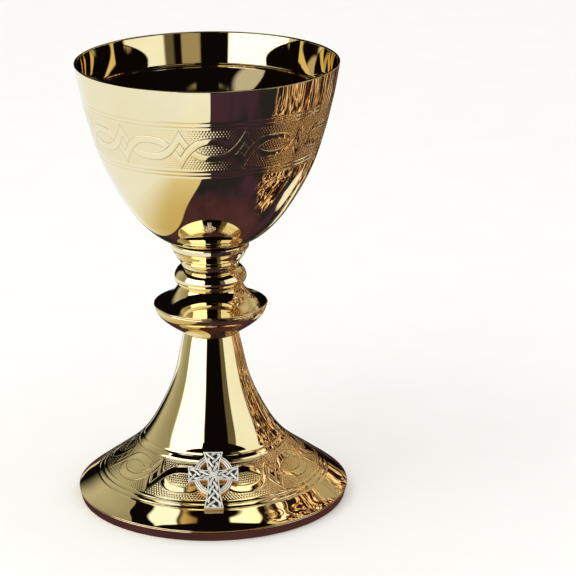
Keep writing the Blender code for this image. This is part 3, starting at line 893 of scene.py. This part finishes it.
def make_cross(curve):
    """The cast cross: a fine relief grid snapped to its outline, closed at the back, bent to the foot."""
    nx = round(2 * (CROSS["side"] + CROSS_MARGIN) / CROSS_CELL)
    ny = round((CROSS["up"] + CROSS["down"] + 2 * CROSS_MARGIN) / CROSS_CELL)
    xs = (np.arange(nx + 1) - nx / 2) * CROSS_CELL
    ys = np.arange(ny + 1) * CROSS_CELL - CROSS["down"] - CROSS_MARGIN
    x, y = np.meshgrid(xs, ys)
    middle_inside = cross_fields(x[:-1, :-1] + CROSS_CELL / 2, y[:-1, :-1] + CROSS_CELL / 2)[0]
    chosen = middle_inside > 0
    touched = np.zeros(x.shape, int)
    for dy in (0, 1):
        for dx in (0, 1):
            touched[dy : ny + dy, dx : nx + dx] += chosen
    rim = (touched > 0) & (touched < 4)
    step = 0.02
    for _ in range(3):
        depth = cross_fields(x, y)[0]
        gx = (cross_fields(x + step, y)[0] - cross_fields(x - step, y)[0]) / (2 * step)
        gy = (cross_fields(x, y + step)[0] - cross_fields(x, y - step)[0]) / (2 * step)
        pull = np.clip(depth / np.maximum(gx**2 + gy**2, 0.2), -0.1, 0.1) * 0.8
        x = np.where(rim, x - gx * pull, x)
        y = np.where(rim, y - gy * pull, y)
    _, top, recess = cross_fields(x, y)
    top = np.clip(top, 0.6, CROSS_THICKNESS)
    used = touched > 0
    index = np.full(x.shape, -1)
    index[used] = np.arange(used.sum())
    count = int(used.sum())
    flat = np.column_stack([x[used], y[used]])
    heights = np.concatenate([top[used], np.zeros(count)]) + CROSS_GAP
    flat = np.concatenate([flat, flat])
    corners = (index[:-1, :-1], index[:-1, 1:], index[1:, 1:], index[1:, :-1])
    front = np.stack([corner[chosen] for corner in corners], 1)
    back = front[:, ::-1] + count
    edges = np.concatenate([front[:, [i, (i + 1) % 4]] for i in range(4)])
    keys = {tuple(edge) for edge in edges.tolist()}
    walls = [(b, a, a + count, b + count) for a, b in keys if (b, a) not in keys]
    place = float(np.interp(CROSS_CENTRE_RADIUS, curve[:, 1], curve[:, 0])) - flat[:, 1]
    point = at_length(curve, place)
    normal = normals_at(curve, place)
    away = point + normal * heights[:, None]
    turn = flat[:, 0] / point[:, 0]
    world = np.column_stack([away[:, 0] * np.sin(turn), -away[:, 0] * np.cos(turn), away[:, 1]]) * MM
    mesh = bpy.data.meshes.new("cast_cross")
    mesh.from_pydata(world.tolist(), [], front.tolist() + back.tolist() + walls)
    values = np.concatenate([recess[used], np.zeros(count)]).astype(np.float32)
    mesh.attributes.new("recess", "FLOAT", "POINT").data.foreach_set("value", values)
    mesh.shade_smooth()
    mesh.set_sharp_from_angle(angle=math.radians(50))
    add_piece("cast_cross", mesh, "stem_and_foot", "cross", "cross_silver", SILVER, CROSS_GILT)
    slots = np.zeros(len(mesh.polygons), np.int32)
    slots[2 * len(front) :] = 1
    mesh.polygons.foreach_set("material_index", slots)


# ---- stage

CAMERA_PLACE = Vector((0.0, -1.200, 0.491))
CAMERA_YAW = 1.72
CAMERA_PITCH = 18.035
CAMERA_ROLL = -0.35
CAMERA_LENS = 169.6
SENSOR = 36.0

# Colours that only reflections see.
DARK = (0.004, 0.0025, 0.0025)
KHAKI = (0.62, 0.60, 0.45)
SHADE = (0.33, 0.30, 0.20)
WHITE = (1.9, 1.9, 1.9)
SOFT_WHITE = (1.15, 1.20, 1.15)
CREAM = (0.98, 1.02, 0.98)
OLIVE = (0.13, 0.11, 0.06)
TAN = (0.36, 0.30, 0.17)
BROWN = (0.50, 0.30, 0.16)
OLD_GOLD = (0.80, 0.70, 0.46)
PALE = (1.0, 0.99, 0.97)

# Cards around the chalice, as (angle where a colour starts, colour), from behind by way of the left.
CARD_RADIUS = 235.0
CARD_TOP = 300.0
CARD_COLUMNS = 180
CARD_SOFTNESS = 1.6
CARD_STOPS = [
    (-182, DARK), (-158, KHAKI), (-83, WHITE), (-19, DARK), (30, OLIVE), (45, CREAM), (88, BROWN),
]
# What the inside of the cup sees of them, above the level of its lip.
LIP_CARD_STOPS = [
    (-182, DARK), (-168, OLD_GOLD), (-146, DARK), (-141, OLD_GOLD), (-116, DARK), (-101, KHAKI),
    (-88, WHITE), (-23, DARK), (6, TAN), (25, DARK), (33, OLIVE), (43, CREAM), (87, BROWN), (93, DARK),
    (104, OLD_GOLD), (150, DARK),
]
LIP_CARD_FOOT = (197.0, 200.0)
# Tops of the cards, as shares of CARD_TOP at angles.
CARD_TOPS = [
    (-180, 0.0), (-160, 0.89), (-95, 0.89), (-84, 0.80), (-22, 0.92), (-20, 0.79), (70, 0.79),
    (88, 0.72), (90, 0.0),
]
# The cup's inside sees lower tops, highest at the front, and a raised strip on either side of the front.
LIP_TOP = 252.0
LIP_TOP_FALL = -0.0038
LIP_TOP_LEAST = 228.0
STRIP_HEIGHTS = ((263.0, 266.0), (287.0, 291.0))
STRIP_ANGLES = ((11.0, 14.0), (50.0, 54.0))
# Vertical part of the direction back along a ray: below 0 for a ray that climbs.
SHALLOW_CLIMB = (-0.34, -0.30)
STRIP_CLIMB = (-0.280, -0.265)
LEVEL_FALL = (0.16, 0.20)

# The roof overhead, as (place from left to right, colour).
ROOF_STOPS = [
    (0.215, DARK), (0.230, SOFT_WHITE), (0.340, SOFT_WHITE), (0.352, DARK), (0.372, (0.62, 0.42, 0.16)),
    (0.425, (0.30, 0.17, 0.06)), (0.435, DARK), (0.560, DARK), (0.570, (1.5, 1.5, 1.3)),
    (0.690, (1.4, 1.3, 1.0)), (0.702, DARK), (0.735, DARK), (0.750, (0.95, 0.80, 0.45)),
    (0.830, (0.70, 0.40, 0.16)), (0.880, (0.05, 0.02, 0.03)),
]
# Gold thread on dark cloth, by the level of a swirling noise.
CLOTH_STOPS = [
    (0.33, (0.90, 0.50, 0.18)), (0.36, (0.25, 0.08, 0.03)), (0.39, (0.012, 0.007, 0.008)),
    (0.455, (0.020, 0.010, 0.012)), (0.475, (0.45, 0.17, 0.05)), (0.495, (1.60, 1.25, 0.75)),
    (0.515, (0.50, 0.18, 0.05)), (0.535, (0.020, 0.010, 0.012)), (0.60, (0.012, 0.007, 0.008)),
    (0.62, (0.60, 0.28, 0.09)), (0.65, (1.9, 1.75, 1.4)), (0.69, (0.15, 0.06, 0.03)),
]
# A faint outline where metal is seen edge on, by the share of GRAZING_REACH degrees from that direction.
GRAZING_REACH = 60.0
GRAZING_STOPS = [
    (0.17, DARK), (0.20, (0.26, 0.23, 0.17)), (0.24, (0.10, 0.08, 0.05)), (0.30, DARK),
]

# The floor, in metres, and the pale sheet on it, in mm: its edge swings from right to left going back.
FLOOR_HALF = 6.0
FLOOR_STEPS = 12
FLOOR_FADE = (1500.0, 5500.0)
SHEET_SWING = 49.0
SHEET_SHIFT = 31.0
SHEET_BEND_AT = -148.0
SHEET_BEND_LENGTH = 132.0
SHEET_REACH = 700.0
SHEET_TONES = [
    (0.12, (0.62, 0.50, 0.22)), (0.25, (0.77, 0.70, 0.44)), (0.36, (0.93, 0.95, 0.90)),
    (0.60, (0.96, 1.03, 1.15)),
]
DARK_ROUND_EDGE = (90.0, 130.0)
UNDER_FOOT = (58.0, 61.0)


def make_camera():
    data = bpy.data.cameras.new("camera")
    data.lens = CAMERA_LENS
    data.sensor_width = SENSOR
    camera = show("camera", data)
    yaw = math.radians(CAMERA_YAW)
    pitch = math.radians(CAMERA_PITCH)
    ahead = Vector((math.sin(yaw) * math.cos(pitch), math.cos(yaw) * math.cos(pitch), -math.sin(pitch)))
    turn = ahead.to_track_quat("-Z", "Y").to_matrix().to_4x4()
    roll = Matrix.Rotation(math.radians(CAMERA_ROLL), 4, "Z")
    camera.matrix_world = Matrix.Translation(CAMERA_PLACE) @ turn @ roll
    bpy.context.scene.camera = camera


def around(degrees):
    return (degrees + 180) / 360


def bearing_of(nodes, x, y):
    """Angle around the axis of a direction or place, from 0 to 1, with the front at a half."""
    turn = nodes.math("ARCTAN2", x, nodes.times(y, -1.0))
    return nodes.plus(nodes.over(turn, 2 * math.pi), 0.5)


def stops_around(stops):
    """Colour stops at angles, each change of colour drawn as a narrow step."""
    drawn = []
    for i, (angle, colour) in enumerate(stops):
        if i:
            drawn.append((around(angle), stops[i - 1][1]))
        drawn.append((around(angle + CARD_SOFTNESS), colour))
    return drawn


def patch(nodes, across, rise, centre, size):
    """1 inside an ellipse of directions, 0 outside, with a soft edge."""
    softness = 0.25
    u = nodes.over(nodes.minus(across, centre[0]), size[0])
    v = nodes.over(nodes.minus(rise, centre[1]), size[1])
    reach = nodes.plus(nodes.times(u, u), nodes.times(v, v))
    return nodes.fall(reach, 1 - softness, 1 + softness)


def cloth(nodes, vector):
    """The look of gold-embroidered cloth: upright folds and swirling gold threads on dark ground."""
    folds = nodes.scaled(vector, 6.5, 6.5, 3.4)
    swirl = nodes.texture(folds, Scale=1.0, Detail=4.0, Roughness=0.62, Distortion=1.1)
    return nodes.ramp(swirl, CLOTH_STOPS)


def upper_surroundings(nodes, direction, angle, wavy_angle, rise, threads):
    """Above eye level: a dark room with bright panels overhead, cloth on the right and a wall past it."""
    x, y, z = nodes.split(direction)
    tilted_rise = nodes.linear(angle, -0.1, rise)
    front_panel = patch(nodes, angle, tilted_rise, (-57.0, 17.5), (31.0, 4.2))
    upper = nodes.mix(front_panel, DARK, (0.55, 0.52, 0.45))
    high_back = patch(nodes, nodes.math("ABSOLUTE", angle), rise, (180.0, 63.0), (60.0, 13.0))
    upper = nodes.mix(high_back, upper, (0.80, 0.74, 0.56))

    height = nodes.math("MAXIMUM", z, 0.05)
    across = nodes.over(x, height)
    forward = nodes.over(nodes.times(y, -1.0), height)
    roof = nodes.ramp(nodes.linear(across, 0.5, 0.5), ROOF_STOPS)
    overhead = nodes.window(forward, (-0.32, -0.24), (0.055, 0.085))
    upper = nodes.mix(nodes.times(nodes.step(rise, 42.0, 46.0), overhead), upper, roof)

    cloth_side = nodes.window(angle, (86.0, 92.0), (156.0, 162.0))
    below_roof = nodes.fall(rise, 60.0, 68.0)
    upper = nodes.mix(nodes.times(cloth_side, below_roof), upper, threads)
    wall = nodes.mix(nodes.noise(direction, 4.0, 3.0), (0.10, 0.06, 0.03), (0.85, 0.76, 0.48))
    past_cloth = nodes.window(wavy_angle, (130.0, 136.0), (154.0, 160.0))
    return nodes.mix(nodes.times(past_cloth, nodes.step(rise, 16.0, 24.0)), upper, wall)


def lower_surroundings(nodes, direction, wavy_angle, wavy_rise, threads):
    """Below eye level: violet dark, more cloth on the right, and two glints of light past it."""
    smoke = nodes.noise(direction, 2.6, 2.0)
    lower = nodes.mix(nodes.step(smoke, 0.42, 0.66), (0.022, 0.020, 0.024), (0.060, 0.028, 0.058))
    cloth_side = nodes.times(nodes.step(wavy_rise, -37.0, -34.0), nodes.step(wavy_angle, 62.0, 68.0))
    lower = nodes.mix(nodes.times(cloth_side, 0.8), lower, threads)
    for centre, size, colour in (
        ((97.0, -46.0), (24.0, 13.0), threads),
        ((137.0, -37.0), (5.0, 5.0), (1.0, 1.0, 0.9)),
        ((158.0, -30.0), (6.0, 3.0), (1.0, 1.0, 0.8)),
    ):
        lower = nodes.mix(patch(nodes, wavy_angle, wavy_rise, centre, size), lower, colour)
    return lower


def make_studio():
    """Plain pale light for everything, and for polished metal the surroundings that it reflects."""
    world = bpy.data.worlds.new("studio")
    bpy.context.scene.world = world
    world.use_nodes = True
    nodes = Nodes(world.node_tree)
    output = world.node_tree.nodes["World Output"]
    back = world.node_tree.nodes["Background"]
    direction = nodes.add("ShaderNodeTexCoord").outputs["Generated"]
    x, y, z = nodes.split(direction)
    angle = nodes.linear(bearing_of(nodes, x, y), 360.0, -180.0)
    rise = nodes.times(nodes.math("ARCSINE", z), 180 / math.pi)
    ripple = nodes.linear(nodes.noise(direction, 5.0, 3.0), 14.0, -7.0)
    wavy_angle = nodes.plus(angle, ripple)
    wavy_rise = nodes.plus(rise, nodes.times(ripple, 0.6))
    threads = cloth(nodes, direction)
    upper = upper_surroundings(nodes, direction, angle, wavy_angle, rise, threads)
    lower = lower_surroundings(nodes, direction, wavy_angle, wavy_rise, threads)
    seen = nodes.mix(nodes.step(rise, -13.0, -9.0), lower, upper)
    aside = nodes.minus(180.0, nodes.math("ABSOLUTE", angle))
    below = nodes.plus(rise, 18.0)
    grazing = nodes.length(aside, below)
    outline = nodes.ramp(nodes.over(grazing, GRAZING_REACH), GRAZING_STOPS)
    seen = nodes.mix(nodes.fall(grazing, 17.0, 22.0), seen, outline)
    path = nodes.add("ShaderNodeLightPath")
    nodes.wire(back.inputs["Color"], nodes.mix(path.outputs["Is Glossy Ray"], PALE, seen))
    back.inputs["Strength"].default_value = 1.0
    nodes.wire(output.inputs["Surface"], back.outputs[0])


def card_ring():
    """The upright ring of cards, hidden from everything but reflections."""
    angle = np.arange(CARD_COLUMNS) * 2 * math.pi / CARD_COLUMNS
    ring = np.column_stack([np.sin(angle), -np.cos(angle), 0 * angle]) * CARD_RADIUS
    places = np.concatenate([ring, ring + np.array([0, 0, CARD_TOP])])
    k = np.arange(CARD_COLUMNS)
    nxt = (k + 1) % CARD_COLUMNS
    faces = np.stack([k, nxt, nxt + CARD_COLUMNS, k + CARD_COLUMNS], 1)
    mesh = bpy.data.meshes.new("cards")
    mesh.from_pydata((places * MM).tolist(), [], faces.tolist())
    cards = show("cards", mesh)
    for ray in ("camera", "diffuse", "shadow", "transmission"):
        setattr(cards, "visible_" + ray, False)
    return cards


def card_colour(nodes, share, height, shallow):
    """Colour at a bearing and height: shaded to the back on the left, striped above the cup's lip."""
    colour = nodes.ramp(share, stops_around(CARD_STOPS))
    fade = nodes.step(share, around(-150), around(-88))
    left_half = nodes.fall(share, around(-85), around(-84))
    colour = nodes.mix(nodes.times(fade, left_half), colour, SHADE)
    limb = nodes.fall(share, around(-143), around(-126))
    colour = nodes.mix(limb, colour, DARK)
    stripes = nodes.ramp(share, stops_around(LIP_CARD_STOPS))
    return nodes.mix(nodes.times(nodes.step(height, *LIP_CARD_FOOT), shallow), colour, stripes)


def card_top(nodes, share, turn, shallow):
    """Height of the cards at a bearing, lower for the shallow rays that leave the inside of the cup."""
    level = nodes.ramp(share, [(around(angle), (top,) * 3) for angle, top in CARD_TOPS])
    present = nodes.math("MINIMUM", nodes.times(level, 10.0), 1.0)
    lip_top = nodes.linear(nodes.times(turn, turn), LIP_TOP_FALL, LIP_TOP)
    lip_top = nodes.times(present, nodes.math("MAXIMUM", lip_top, LIP_TOP_LEAST))
    steep = nodes.minus(1.0, shallow)
    return nodes.plus(nodes.times(steep, nodes.times(level, CARD_TOP)), nodes.times(shallow, lip_top))


def make_cards():
    """Cards around the chalice, seen only as reflections, and only by rays that do not point down."""
    cards = card_ring()
    material, nodes, shader, _ = new_material("cards")
    material.node_tree.nodes.remove(shader)
    geometry = nodes.add("ShaderNodeNewGeometry")
    x, y, z = nodes.split(geometry.outputs["Position"])
    climb = nodes.split(geometry.outputs["Incoming"])[2]
    share = bearing_of(nodes, x, y)
    turn = nodes.linear(share, 360.0, -180.0)
    height = nodes.over(z, MM)
    shallow = nodes.step(climb, *SHALLOW_CLIMB)
    colour = card_colour(nodes, share, height, shallow)
    room = nodes.minus(card_top(nodes, share, turn, shallow), height)
    shown = nodes.step(room, 0.0, 3.0)
    strip = nodes.times(nodes.window(height, *STRIP_HEIGHTS), nodes.step(climb, *STRIP_CLIMB))
    strip = nodes.times(strip, nodes.window(nodes.math("ABSOLUTE", turn), *STRIP_ANGLES))
    colour = nodes.mix(strip, colour, OLD_GOLD)
    shown = nodes.math("MAXIMUM", shown, strip)
    shown = nodes.times(shown, nodes.fall(climb, *LEVEL_FALL))
    surface = nodes.either(shown, nodes.clear(), nodes.glow(colour))
    nodes.wire(material.node_tree.nodes["Material Output"].inputs["Surface"], surface)
    cards.data.materials.append(material)


def floor_in_reflections(nodes, place, across, along, reach):
    """The pale sheet on the left, dark around the foot, pale under it, and nothing beyond."""
    bend = nodes.math("TANH", nodes.over(nodes.minus(along, SHEET_BEND_AT), SHEET_BEND_LENGTH))
    beyond = nodes.plus(across, nodes.linear(bend, SHEET_SWING, SHEET_SHIFT))
    on_sheet = nodes.fall(beyond, -1.2, 1.2)
    tone = nodes.ramp(nodes.over(reach, SHEET_REACH), SHEET_TONES)
    far_left = nodes.fall(across, -180.0, -95.0)
    sheet = nodes.glow(nodes.mix(far_left, tone, (0.90, 0.96, 1.05)))
    # Dark purple-brown floor around the foot, as reflections see it.
    smudge = nodes.noise(place, 18.0, 3.0)
    dark_round_tone = nodes.mix(smudge, (0.030, 0.014, 0.020), (0.115, 0.045, 0.060))
    under_foot = nodes.fall(reach, *UNDER_FOOT)
    dark_round = nodes.glow(nodes.mix(under_foot, dark_round_tone, (0.75, 0.74, 0.70)))
    dark_side = nodes.either(nodes.fall(reach, *DARK_ROUND_EDGE), nodes.clear(), dark_round)
    return nodes.either(on_sheet, dark_side, sheet)


def make_floor():
    """A plain pale floor that fades far away and can be looked through from below."""
    mesh = bpy.data.meshes.new("floor")
    grid = np.linspace(-FLOOR_HALF, FLOOR_HALF, FLOOR_STEPS + 1)
    places = [(a, b, 0.0) for b in grid for a in grid]
    row = FLOOR_STEPS + 1
    corners = [j * row + i for j in range(FLOOR_STEPS) for i in range(FLOOR_STEPS)]
    mesh.from_pydata(places, [], [(k, k + 1, k + row + 1, k + row) for k in corners])
    floor = show("floor", mesh)
    material, nodes, shader, place = new_material("pale_floor")
    output = material.node_tree.nodes["Material Output"]
    fleck = nodes.noise(place, 30.0, 4.0)
    nodes.wire(shader.inputs["Base Color"], nodes.mix(fleck, (0.93, 0.92, 0.90), (0.96, 0.955, 0.94)))
    shader.inputs["Roughness"].default_value = 0.8
    shader.inputs["Specular IOR Level"].default_value = 0.1
    x, y, _ = nodes.split(place)
    across = nodes.over(x, MM)
    along = nodes.over(y, MM)
    reach = nodes.length(across, along)
    reflected = floor_in_reflections(nodes, place, across, along, reach)
    path = nodes.add("ShaderNodeLightPath")
    both = nodes.either(path.outputs["Is Glossy Ray"], shader.outputs[0], reflected)
    from_below = nodes.add("ShaderNodeNewGeometry").outputs["Backfacing"]
    absent = nodes.math("MAXIMUM", from_below, nodes.step(reach, *FLOOR_FADE))
    nodes.wire(output.inputs["Surface"], nodes.either(absent, both, nodes.clear()))
    mesh.materials.append(material)


def make_soft_light():
    data = bpy.data.lights.new("soft_box", "AREA")
    data.shape = "RECTANGLE"
    data.size = 1.4
    data.size_y = 1.0
    data.energy = 6.0
    light = show("soft_box", data)
    light.location = (-0.9, -0.7, 1.5)
    light.rotation_mode = "QUATERNION"
    light.rotation_quaternion = (Vector((0, 0, 0.1)) - light.location).to_track_quat("-Z", "Y")
    light.visible_glossy = False


def main():
    make_bowl()
    foot_curve = spline(FOOT_OUTLINE)
    make_foot(foot_curve)
    make_collar()
    make_bead()
    make_knop()
    make_foot_ring()
    make_boss()
    make_rings()
    make_threaded_rod()
    make_cross(foot_curve)
    for node, material in (
        ("lock_washer", STEEL),
        ("hex_nut", STEEL),
        ("cross_pin_upper", BRASS),
        ("cross_pin_lower", BRASS),
    ):
        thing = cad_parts[node]
        thing.data.materials.clear()
        thing.data.materials.append(material)
    make_studio()
    make_cards()
    make_floor()
    make_soft_light()
    make_camera()
    bpy.context.scene.view_settings.view_transform = "Standard"


main()
